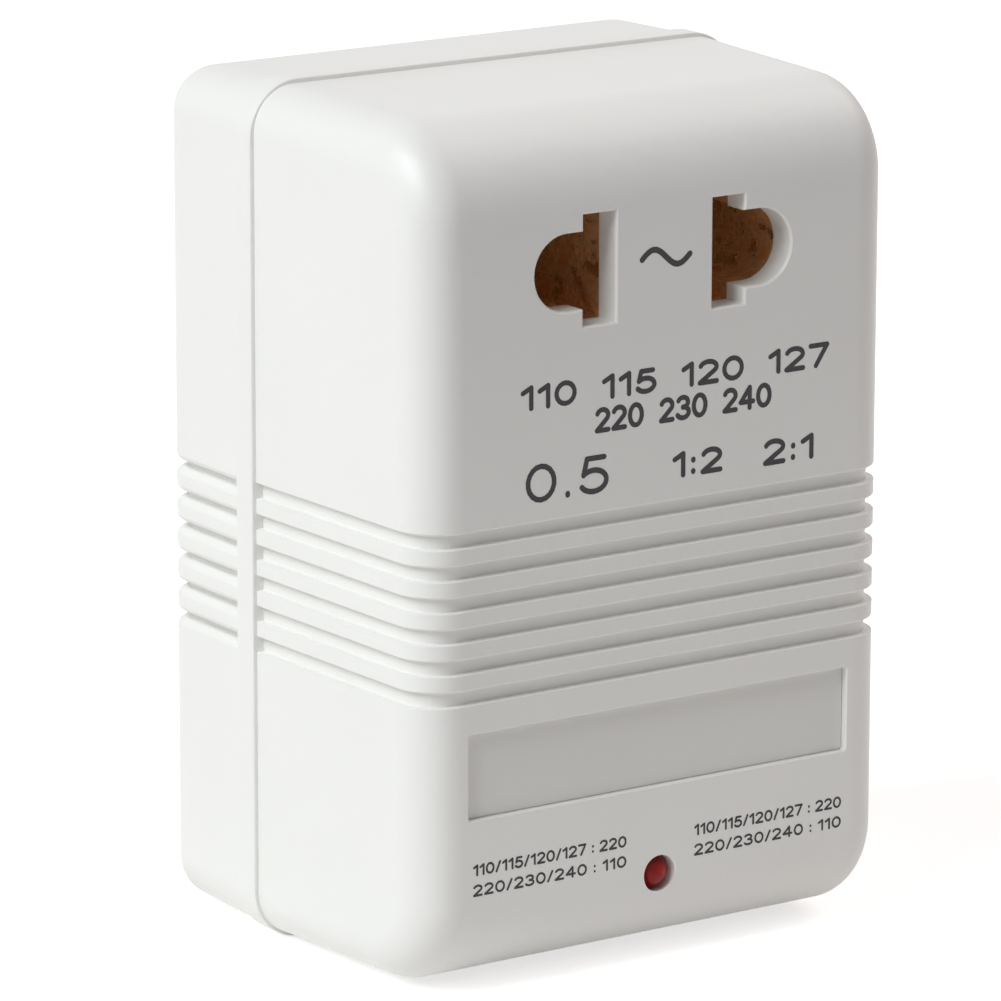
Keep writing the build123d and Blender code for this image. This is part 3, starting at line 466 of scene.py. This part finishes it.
@dataclass(frozen=True)
class BandedBody(Finish):
    """Lacquered or moulded component on end: coloured rings round a body between tinned legs.

    Each ring starts at its share of the height from low_mm to high_mm.
    """

    low_mm: float
    high_mm: float
    rings: Stops
    roughness: float = 0.25
    lacquer_gloss: float = 0.5
    grain_mm: float = 0.4
    grain_strength: float = 0.4
    grain_height_mm: float = 0.02

    def build(self) -> bpy.types.Material:
        """Builds the material.

        Returns:
            The new material.
        """
        material, tree, shader, place = open_material(self.name)
        axes = add_node(tree, "ShaderNodeSeparateXYZ", {}, Vector=place)
        run = add_node(
            tree,
            "ShaderNodeMapRange",
            {"From Min": self.low_mm, "From Max": self.high_mm},
            Value=axes.outputs["Z"],
        )
        tone = add_node(tree, "ShaderNodeValToRGB", {}, Fac=run.outputs["Result"])
        tone.color_ramp.interpolation = "CONSTANT"
        set_stops(tone.color_ramp, self.rings)
        grain = add_node(
            tree, "ShaderNodeTexNoise", {"Scale": 1 / self.grain_mm, "Detail": 2.0}, Vector=place
        )
        bump = add_node(
            tree,
            "ShaderNodeBump",
            {"Strength": self.grain_strength, "Distance": self.grain_height_mm * MM},
            Height=grain.outputs["Fac"],
        )
        tree.links.new(tone.outputs["Color"], shader.inputs["Base Color"])
        tree.links.new(bump.outputs["Normal"], shader.inputs["Normal"])
        shader.inputs["Roughness"].default_value = self.roughness
        shader.inputs["Coat Weight"].default_value = self.lacquer_gloss
        return material


# Acrylonitrile butadiene styrene, moulded in a spark-eroded mould: warm white, satin, so it
# takes a broad soft shine and shows no reflections.
CASE_ABS = MouldedPlastic(
    "white_moulded_abs", "#F1F1EE", "#EFEFEC",
    roughness=0.42, ior=1.53, grain_mm=0.3, grain_height_mm=0.006, mottle_mm=18.0,
)
# Painted metal sheet: flat, a little darker and duller than the case round it.
PLATE_PAINT = MouldedPlastic(
    "bare_painted_plate", "#E8E8E4", "#E6E6E2",
    roughness=0.6, ior=1.5, grain_mm=0.5, grain_height_mm=0.003, mottle_mm=30.0,
)
# Pad-printing ink: a thin matt film that hides the plastic.
PAD_INK = MouldedPlastic(
    "dark_pad_ink", "#232226", "#2A282D",
    roughness=0.62, ior=1.5, grain_mm=0.25, grain_height_mm=0.01, mottle_mm=2.0,
)
# Phenolic moulding compound: near black, with a coarse dull skin.
DARK_PHENOLIC = MouldedPlastic(
    "dark_phenolic", "#2A2624", "#332E2B",
    roughness=0.5, ior=1.6, grain_mm=0.4, grain_height_mm=0.015, mottle_mm=6.0,
)
# Nylon moulded without dye: milky and waxy.
NATURAL_NYLON = MouldedPlastic(
    "natural_nylon", "#DDD6C3", "#D4CCB6",
    roughness=0.38, ior=1.53, grain_mm=0.4, grain_height_mm=0.008, mottle_mm=8.0,
)
# Acetal dyed red: slippery, a little glossier than the case.
RED_ACETAL = MouldedPlastic(
    "red_acetal", "#B3261E", "#A8211A",
    roughness=0.33, ior=1.48, grain_mm=0.25, grain_height_mm=0.008, mottle_mm=5.0,
)
# Paper laminate bonded with phenolic resin: brown, with the paper's fibres.
PAPER_LAMINATE = MouldedPlastic(
    "paper_laminate", "#93703F", "#7F5D31",
    roughness=0.35, ior=1.56, grain_mm=0.5, grain_height_mm=0.01, mottle_mm=1.2,
)


def vinyl_jacket(name: str, colour: str, shade: str) -> MouldedPlastic:
    """Describes the soft vinyl jacket of a wire: slightly waxy, in one colour.

    Args:
        name: the finish's name.
        colour: the jacket's colour.
        shade: the colour of its other patches.

    Returns:
        The finish.
    """
    return MouldedPlastic(
        name, colour, shade, roughness=0.4, ior=1.54, grain_mm=0.3, grain_height_mm=0.01, mottle_mm=4.0
    )


BLACK_VINYL = vinyl_jacket("black_vinyl_jacket", "#242426", "#2B2B2D")
RED_VINYL = vinyl_jacket("red_vinyl_jacket", "#A3211C", "#961D19")
BLUE_VINYL = vinyl_jacket("blue_vinyl_jacket", "#28488F", "#244180")
YELLOW_VINYL = vinyl_jacket("yellow_vinyl_jacket", "#D0A928", "#C39D22")

# Folded brass strip: its heat-browned patches have a dull oxide skin, the rest is bright.
CONTACT_BRASS = RolledMetal(
    "browned_brass_strip", "#FFE0B2", "#C4864C",
    roughness=0.28, along=Direction.Y, line_mm=0.15, line_length_mm=5.0, patch_mm=1.6, clean_share=0.62,
    tarnish_metallic=0.0,
)
# Brass strip with a thin nickel plating: pale, faintly yellow, clean.
NICKEL_BRASS = RolledMetal(
    "nickel_plated_brass", "#D8D2C2", "#C4BBA4",
    roughness=0.2, along=Direction.Y, line_mm=0.12, line_length_mm=8.0, patch_mm=5.0, clean_share=0.65,
)
# Steel with clear zinc plating: grey with a faint blue bloom.
ZINC_STEEL = RolledMetal(
    "zinc_plated_steel", "#C3C6C9", "#A9ADB3",
    roughness=0.28, along=Direction.X, line_mm=0.12, line_length_mm=3.0, patch_mm=2.5, clean_share=0.6,
)
# Tinned copper: bright, soft and slightly uneven.
TINNED_COPPER = RolledMetal(
    "tinned_copper", "#CFCFCC", "#B7B6B0",
    roughness=0.18, along=Direction.Z, line_mm=0.1, line_length_mm=2.0, patch_mm=1.5, clean_share=0.6,
)

# Silicon-steel laminations dipped in varnish: dark edges on a 0.5 mm pitch.
CORE_LAMINATIONS = LayeredStack(
    "varnished_laminations", "#5D6166", "#2C2B2A",
    layer_mm=0.5, across=Direction.Y, roughness=0.38, metallic=1.0, layer_height_mm=0.04,
)
# Enamelled copper wire wound in rows: the enamel is glossy and reddish brown. The dark brown between the rows
# is painted shade in the grooves between the turns.
COPPER_WINDING = LayeredStack(
    "enamelled_copper_winding", "#B4612F", "#5E2A12",
    layer_mm=0.35, across=Direction.Z, roughness=0.22, metallic=0.5, layer_height_mm=0.08,
)

# Polyester film over the windings: clear yellow, with a wet-looking shine.
YELLOW_TAPE = PolyesterTape("yellow_polyester_tape", "#D9B13A", "#C79C26")
# Epoxy resin dyed deep red: dark while the lamp is off.
LAMP_RESIN = DyedResin("red_dyed_resin", "#A3170F", "#7A0D08")

LEG_TIN = "#C9C9C5"
RESISTOR_TAN = "#CDB98B"
DIODE_BLACK = "#26282B"
# Film resistor in tan lacquer with four painted rings.
RESISTOR_BODY = BandedBody(
    "ringed_resistor",
    low_mm=5.98,
    high_mm=12.42,
    rings=(
        (0.0, LEG_TIN),
        (0.158, RESISTOR_TAN),
        (0.25, "#7A4A22"),
        (0.31, RESISTOR_TAN),
        (0.42, "#1C1B1B"),
        (0.48, RESISTOR_TAN),
        (0.58, "#D9772B"),
        (0.64, RESISTOR_TAN),
        (0.76, "#B8923C"),
        (0.80, RESISTOR_TAN),
        (0.842, LEG_TIN),
    ),
)
# Diode in black moulding compound with one silver ring.
DIODE_BODY = BandedBody(
    "ringed_diode",
    low_mm=6.58,
    high_mm=11.82,
    rings=((0.0, LEG_TIN), (0.195, DIODE_BLACK), (0.68, "#C4C6C6"), (0.75, DIODE_BLACK), (0.805, LEG_TIN)),
)


@dataclass
class SubAssembly:
    """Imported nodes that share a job, with the materials that all sub-assemblies share."""

    nodes: dict[str, bpy.types.Object]
    made: dict[str, bpy.types.Material]
    finishes: ClassVar[dict[str, Finish]] = {}

    def material(self, finish: Finish) -> bpy.types.Material:
        """Builds a finish once.

        Args:
            finish: the finish.

        Returns:
            Its material.
        """
        if finish.name not in self.made:
            self.made[finish.name] = finish.build()
        return self.made[finish.name]

    def dress(self) -> None:
        """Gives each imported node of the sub-assembly its finish."""
        for name, finish in self.finishes.items():
            node = self.nodes[name]
            node.data.materials.clear()
            node.data.materials.append(self.material(finish))
            LOG.info("%s: %s", name, finish.name)


class Case(SubAssembly):
    """The two shells, their screws and the bare plate."""

    finishes = {
        "front_shell": CASE_ABS,
        "rear_shell": CASE_ABS,
        "case_screws": ZINC_STEEL,
        "name_plate": PLATE_PAINT,
    }


class OutputSocket(SubAssembly):
    """The brass contacts behind the openings and the plate that holds them."""

    finishes = {
        "output_contact_left": CONTACT_BRASS,
        "output_contact_right": CONTACT_BRASS,
        "contact_retainer": PAPER_LAMINATE,
        "contact_retainer_screws": ZINC_STEEL,
    }


class Plug(SubAssembly):
    """The blades and their clamp plate."""

    finishes = {
        "plug_blade_left": NICKEL_BRASS,
        "plug_blade_right": NICKEL_BRASS,
        "blade_retainer": DARK_PHENOLIC,
        "blade_retainer_screws": ZINC_STEEL,
    }


class Transformer(SubAssembly):
    """The core, its frame, the bobbin with its windings and the thermal fuse."""

    finishes = {
        "core_e_stack": CORE_LAMINATIONS,
        "core_i_stack": CORE_LAMINATIONS,
        "core_frame": ZINC_STEEL,
        "core_frame_screws": ZINC_STEEL,
        "bobbin": NATURAL_NYLON,
        "bobbin_pins": TINNED_COPPER,
        "common_winding": COPPER_WINDING,
        "interlayer_tape": YELLOW_TAPE,
        "series_winding": COPPER_WINDING,
        "outer_tape": YELLOW_TAPE,
        "thermal_fuse": TINNED_COPPER,
    }


class IndicatorLamp(SubAssembly):
    """The red lamp and the board behind it."""

    finishes = {
        "indicator_lamp": LAMP_RESIN,
        "lamp_legs": TINNED_COPPER,
        "lamp_board": PAPER_LAMINATE,
        "lamp_resistor": RESISTOR_BODY,
        "lamp_diode": DIODE_BODY,
    }


class VoltageSelector(SubAssembly):
    """The slide switch in the back."""

    finishes = {
        "selector_body": DARK_PHENOLIC,
        "selector_terminals": CONTACT_BRASS,
        "selector_frame": ZINC_STEEL,
        "selector_screws": ZINC_STEEL,
        "selector_slider": RED_ACETAL,
        "selector_bridges": CONTACT_BRASS,
    }


class Leads(SubAssembly):
    """The jacketed wires inside the case."""

    finishes = {
        "blade_live_lead": RED_VINYL,
        "output_live_lead": RED_VINYL,
        "blade_neutral_lead": BLACK_VINYL,
        "output_neutral_lead": BLACK_VINYL,
        "high_tap_lead": BLUE_VINYL,
        "low_tap_lead": YELLOW_VINYL,
        "fuse_lead": BLACK_VINYL,
        "selector_jumpers": BLUE_VINYL,
        "lamp_leads": YELLOW_VINYL,
    }


Path = list[tuple[float, float]]
BOW_STEPS = 18
WAVE_STEPS = 24


def bow(x: float, z: float, wide: float, high: float, start: float, end: float) -> Path:
    """Draws part of an oval.

    Args:
        x: the middle, across.
        z: the middle, up.
        wide: half the oval's width.
        high: half the oval's height.
        start: the angle where the part starts, in degrees from the right.
        end: the angle where it ends.

    Returns:
        Points along it.
    """
    angles = [math.radians(start + (end - start) * n / BOW_STEPS) for n in range(BOW_STEPS + 1)]
    return [(x + wide * math.cos(a), z + high * math.sin(a)) for a in angles]


def wave() -> Path:
    """Draws one turn of a sine in a cell one unit wide and high."""
    return [(n / WAVE_STEPS, 0.5 + 0.5 * math.sin(math.tau * n / WAVE_STEPS)) for n in range(WAVE_STEPS + 1)]


# Width and pen strokes of each figure, in a cell one unit high.
FIGURES: dict[str, tuple[float, list[Path]]] = {
    "0": (0.56, [bow(0.28, 0.5, 0.28, 0.5, 90, 450)]),
    "1": (0.28, [[(0.0, 0.77), (0.26, 1.0)], [(0.26, 1.0), (0.26, 0.0)]]),
    "2": (0.54, [bow(0.27, 0.72, 0.26, 0.28, 160, -38) + [(0.0, 0.0)], [(0.0, 0.0), (0.54, 0.0)]]),
    "3": (0.54, [bow(0.26, 0.755, 0.24, 0.245, 155, -90), bow(0.26, 0.265, 0.28, 0.265, 90, -155)]),
    "4": (0.6, [[(0.43, 1.0), (0.0, 0.3)], [(0.0, 0.3), (0.6, 0.3)], [(0.43, 1.0), (0.43, 0.0)]]),
    "5": (
        0.54,
        [[(0.49, 1.0), (0.12, 1.0)], [(0.12, 1.0), (0.05, 0.52)], bow(0.26, 0.32, 0.28, 0.32, 138, -152)],
    ),
    "7": (0.54, [[(0.0, 1.0), (0.54, 1.0)], [(0.54, 1.0), (0.18, 0.0)]]),
    "/": (0.3, [[(0.0, 0.0), (0.3, 1.0)]]),
    ":": (0.1, [[(0.05, 0.08), (0.05, 0.12)], [(0.05, 0.62), (0.05, 0.66)]]),
    ".": (0.1, [[(0.05, 0.02), (0.05, 0.06)]]),
    "~": (1.0, [wave()]),
}
# Room between two figures, and the width of a space, in the same unit.
FIGURE_GAP = 0.24
SPACE = 0.34


@dataclass(frozen=True)
class Mark:
    """One printed row of figures: the box that it fills on the face and its pen, in millimetres."""

    name: str
    text: str
    left: float
    right: float
    low: float
    high: float
    pen_mm: float

    def strokes(self) -> list[tuple[int, Path]]:
        """Sets the figures side by side and fits the row in the box.

        Returns:
            The pen's strokes, in millimetres across and up the face, each with its turn in
            its figure.
        """
        strokes: list[tuple[int, Path]] = []
        across = 0.0
        for sign in self.text:
            if sign == " ":
                across += SPACE
                continue
            width, figure = FIGURES[sign]
            strokes += [(n, [(across + x, z) for x, z in stroke]) for n, stroke in enumerate(figure)]
            across += width + FIGURE_GAP
        wide = (self.right - self.left - self.pen_mm) / (across - FIGURE_GAP)
        high = self.high - self.low - self.pen_mm
        left, low = self.left + self.pen_mm / 2, self.low + self.pen_mm / 2
        return [(n, [(left + x * wide, low + z * high) for x, z in stroke]) for n, stroke in strokes]


# Each mark's name, figures, left, right, low and high edge, and pen.
FRONT_MARKS = (
    Mark("wave_sign", "~", -2.5, 2.7, 58.4, 60.3, 0.5),
    Mark("low_range", "110  115  120  127", -14.0, 16.6, 48.35, 50.45, 0.42),
    Mark("high_range", "220  230  240", -6.8, 10.8, 45.7, 47.8, 0.42),
    Mark("step", "0.5", -13.5, -5.4, 40.75, 43.95, 0.46),
    Mark("step_up", "1:2", 0.9, 5.9, 40.95, 43.15, 0.44),
    Mark("step_down", "2:1", 10.0, 15.2, 40.8, 43.0, 0.44),
    Mark("low_left", "110/115/120/127 : 220", -18.5, -3.4, 10.75, 11.75, 0.19),
    Mark("low_left_step", "220/230/240 : 110", -18.5, -3.4, 9.05, 10.05, 0.19),
    Mark("low_right", "110/115/120/127 : 220", 3.4, 18.5, 10.55, 11.55, 0.19),
    Mark("low_right_step", "220/230/240 : 110", 3.4, 18.5, 8.85, 9.85, 0.19),
)


@dataclass
class Printing(SubAssembly):
    """Plain numbers and signs printed in dark ink on the front face.

    Each stroke of a figure lies a little above the one before it, so that no two of them
    share a plane where they cross.
    """

    marks: tuple[Mark, ...] = FRONT_MARKS
    lift_mm: float = 0.012
    stroke_lift_mm: float = 0.004
    round_steps: int = 8
    closing_share: float = 0.1
    run_up_mm: float = 10.0

    def ribbon(self, stroke: Path, half: float, corners: list[Vector], faces: list[tuple[int, ...]]) -> None:
        """Adds one pen stroke, closed or with round ends.

        Args:
            stroke: the stroke's points.
            half: half the pen's width.
            corners: the mark's corners so far.
            faces: the mark's faces so far.
        """
        first = len(corners)
        closed = math.dist(stroke[0], stroke[-1]) < half * self.closing_share
        before, after = (stroke[-2], stroke[1]) if closed else (stroke[0], stroke[-1])
        turns = []
        for n, (x, z) in enumerate(stroke):
            x0, z0 = stroke[n - 1] if n else before
            x1, z1 = stroke[n + 1] if n + 1 < len(stroke) else after
            turns.append(math.atan2(z1 - z0, x1 - x0))
            side = Vector((-math.sin(turns[-1]), 0, math.cos(turns[-1]))) * half
            corners += [Vector((x, 0, z)) + side, Vector((x, 0, z)) - side]
        last = len(corners) - 2
        for n in range(first, last, 2):
            faces.append((n, n + 1, n + 3, n + 2))
        if closed:
            return
        for (x, z), turn, sides in (
            (stroke[0], turns[0] + math.pi / 2, (first + 1, first)),
            (stroke[-1], turns[-1] - math.pi / 2, (last, last + 1)),
        ):
            arc = range(len(corners), len(corners) + self.round_steps - 1)
            faces.append((*sides, *arc))
            for n in range(1, self.round_steps):
                a = turn + math.pi * n / self.round_steps
                corners.append(Vector((x + half * math.cos(a), 0, z + half * math.sin(a))))

    def build(self, shell: bpy.types.Object, ink: bpy.types.Material, body: str) -> None:
        """Lays every mark on the shell's front.

        Args:
            shell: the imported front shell.
            ink: the material of the printing.
            body: the body that the marks ride on.
        """
        surface = BVHTree.FromPolygons(
            [vertex.co for vertex in shell.data.vertices],
            [tuple(polygon.vertices) for polygon in shell.data.polygons],
        )
        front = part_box(shell.name)[0].y - self.run_up_mm * MM
        for mark in self.marks:
            corners: list[Vector] = []
            faces: list[tuple[int, ...]] = []
            for turn, stroke in mark.strokes():
                first = len(corners)
                self.ribbon(stroke, mark.pen_mm / 2, corners, faces)
                for corner in corners[first:]:
                    corner *= MM
                    hit = surface.ray_cast(Vector((corner.x, front, corner.z)), Vector((0, 1, 0)))[0]
                    corner.y = hit.y - (self.lift_mm + turn * self.stroke_lift_mm) * MM
            mesh = bpy.data.meshes.new(mark.name)
            mesh.from_pydata(corners, [], faces)
            mesh.materials.append(ink)
            piece = bpy.data.objects.new(f"print_{mark.name}", mesh)
            bpy.context.scene.collection.objects.link(piece)
            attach(piece, body)
            LOG.info("%s: %s", piece.name, ink.name)

    def dress(self) -> None:
        """Prints the front shell."""
        self.build(self.nodes["front_shell"], self.material(PAD_INK), "case")


@dataclass(frozen=True)
class Softbox:
    """A square lamp with a diffuser, aimed at the middle of the object, in metres and degrees."""

    name: str
    azimuth: float
    elevation: float
    distance: float
    width: float
    watts: float
    colour: str

    def build(self, target: Vector) -> None:
        """Hangs the lamp.

        Args:
            target: the point that the lamp faces.
        """
        data = bpy.data.lights.new(self.name, "AREA")
        data.shape = "SQUARE"
        data.size = self.width
        data.energy = self.watts
        data.color = linear(self.colour)[:3]
        lamp = bpy.data.objects.new(self.name, data)
        bpy.context.scene.collection.objects.link(lamp)
        a, e = math.radians(self.azimuth), math.radians(self.elevation)
        away = Vector((math.sin(a) * math.cos(e), -math.cos(a) * math.cos(e), math.sin(e)))
        lamp.location = target + away * self.distance
        lamp.rotation_mode = "QUATERNION"
        lamp.rotation_quaternion = (-away).to_track_quat("-Z", "Y")


@dataclass(frozen=True)
class PhotoCamera:
    """The photograph's camera: where it stood, how it was turned in degrees, and its lens."""

    place_mm: tuple[float, float, float] = (-309.56, -452.785, 167.20)
    azimuth: float = -34.46
    elevation: float = 13.62
    roll: float = 0.12
    lens_mm: float = 242.23
    sensor_mm: float = 36.0
    near: float = 0.01
    far: float = 50.0

    def build(self) -> None:
        """Makes the camera and gives it to the scene."""
        a, e, r = (math.radians(angle) for angle in (self.azimuth, self.elevation, self.roll))
        forward = Vector((-math.sin(a) * math.cos(e), math.cos(a) * math.cos(e), -math.sin(e)))
        level = Vector((math.cos(a), math.sin(a), 0))
        over = level.cross(forward)
        right = level * math.cos(r) + over * math.sin(r)
        up = right.cross(forward)
        data = bpy.data.cameras.new("photo_camera")
        data.lens = self.lens_mm
        data.sensor_width = self.sensor_mm
        data.clip_start = self.near
        data.clip_end = self.far
        camera = bpy.data.objects.new("photo_camera", data)
        bpy.context.scene.collection.objects.link(camera)
        turn = Matrix((right, up, -forward)).transposed()
        camera.matrix_world = Matrix.Translation(Vector(self.place_mm) * MM) @ turn.to_4x4()
        bpy.context.scene.camera = camera


@dataclass
class Studio:
    """Pale table top, soft lamps and the plain light all round, in metres."""

    floor_front: float = 0.17
    floor_back: float = 1.2
    floor_side: float = 1.0
    floor_colour: str = "#F3F1EF"
    floor_roughness: float = 0.9
    floor_glow: float = 0.65
    all_round: float = 0.203
    sky_colour: str = "#FFF8FB"
    lamps: tuple[Softbox, ...] = (
        Softbox(
            "left_softbox",
            azimuth=-85.0, elevation=42.5, distance=1.6, width=1.0, watts=20.6, colour="#F9FEFF",
        ),
        Softbox(
            "right_softbox",
            azimuth=90.0, elevation=40.0, distance=1.6, width=1.0, watts=6.5, colour="#FFF1ED",
        ),
    )

    def floor(self) -> None:
        """Lays the floor, which shows white to the lens and keeps the object's shadow."""
        side, front, back = self.floor_side, self.floor_front, self.floor_back
        corners = [(-side, -front, 0), (side, -front, 0), (side, back, 0), (-side, back, 0)]
        mesh = bpy.data.meshes.new("floor")
        mesh.from_pydata(corners, [], [(0, 1, 2, 3)])
        material, tree, shader, _ = open_material("pale_floor")
        shader.inputs["Base Color"].default_value = linear(self.floor_colour)
        shader.inputs["Roughness"].default_value = self.floor_roughness
        shader.inputs["Specular IOR Level"].default_value = 0.0
        glow = add_node(
            tree, "ShaderNodeMath", {"operation": "MULTIPLY", 1: self.floor_glow}, in0=clear_rays(tree)
        )
        shader.inputs["Emission Color"].default_value = linear(WHITE)
        tree.links.new(glow.outputs["Value"], shader.inputs["Emission Strength"])
        mesh.materials.append(material)
        floor = bpy.data.objects.new("floor", mesh)
        bpy.context.scene.collection.objects.link(floor)

    def sky(self) -> None:
        """Sets the light all round, white to the lens and in reflections."""
        world = bpy.data.worlds.new("studio")
        world.use_nodes = True
        bpy.context.scene.world = world
        tree = world.node_tree
        clear = clear_rays(tree)
        strength = add_node(
            tree, "ShaderNodeMapRange", {"To Min": self.all_round, "To Max": 1.0}, Value=clear
        )
        tint = add_node(tree, "ShaderNodeValToRGB", {}, Fac=clear)
        set_stops(tint.color_ramp, ((0.0, self.sky_colour), (1.0, WHITE)))
        background = tree.nodes["Background"]
        tree.links.new(tint.outputs["Color"], background.inputs["Color"])
        tree.links.new(strength.outputs["Result"], background.inputs["Strength"])

    def build(self, target: Vector) -> None:
        """Builds floor, lamps and sky.

        Args:
            target: the middle of the object.
        """
        self.floor()
        self.sky()
        for lamp in self.lamps:
            lamp.build(target)
        view = bpy.context.scene.view_settings
        view.view_transform = "Standard"


def main() -> None:
    """Builds the studio and every sub-assembly in order."""
    logging.basicConfig(level=logging.INFO, format="%(name)s %(message)s")
    PhotoCamera().build()
    Studio().build((CAD_BOX[0] + CAD_BOX[1]) / 2)
    nodes: dict[str, bpy.types.Object] = frame["nodes"]
    made: dict[str, bpy.types.Material] = {}
    for kind in (Case, OutputSocket, Plug, Transformer, IndicatorLamp, VoltageSelector, Leads, Printing):
        kind(nodes, made).dress()


if __name__ == "__main__":
    main()
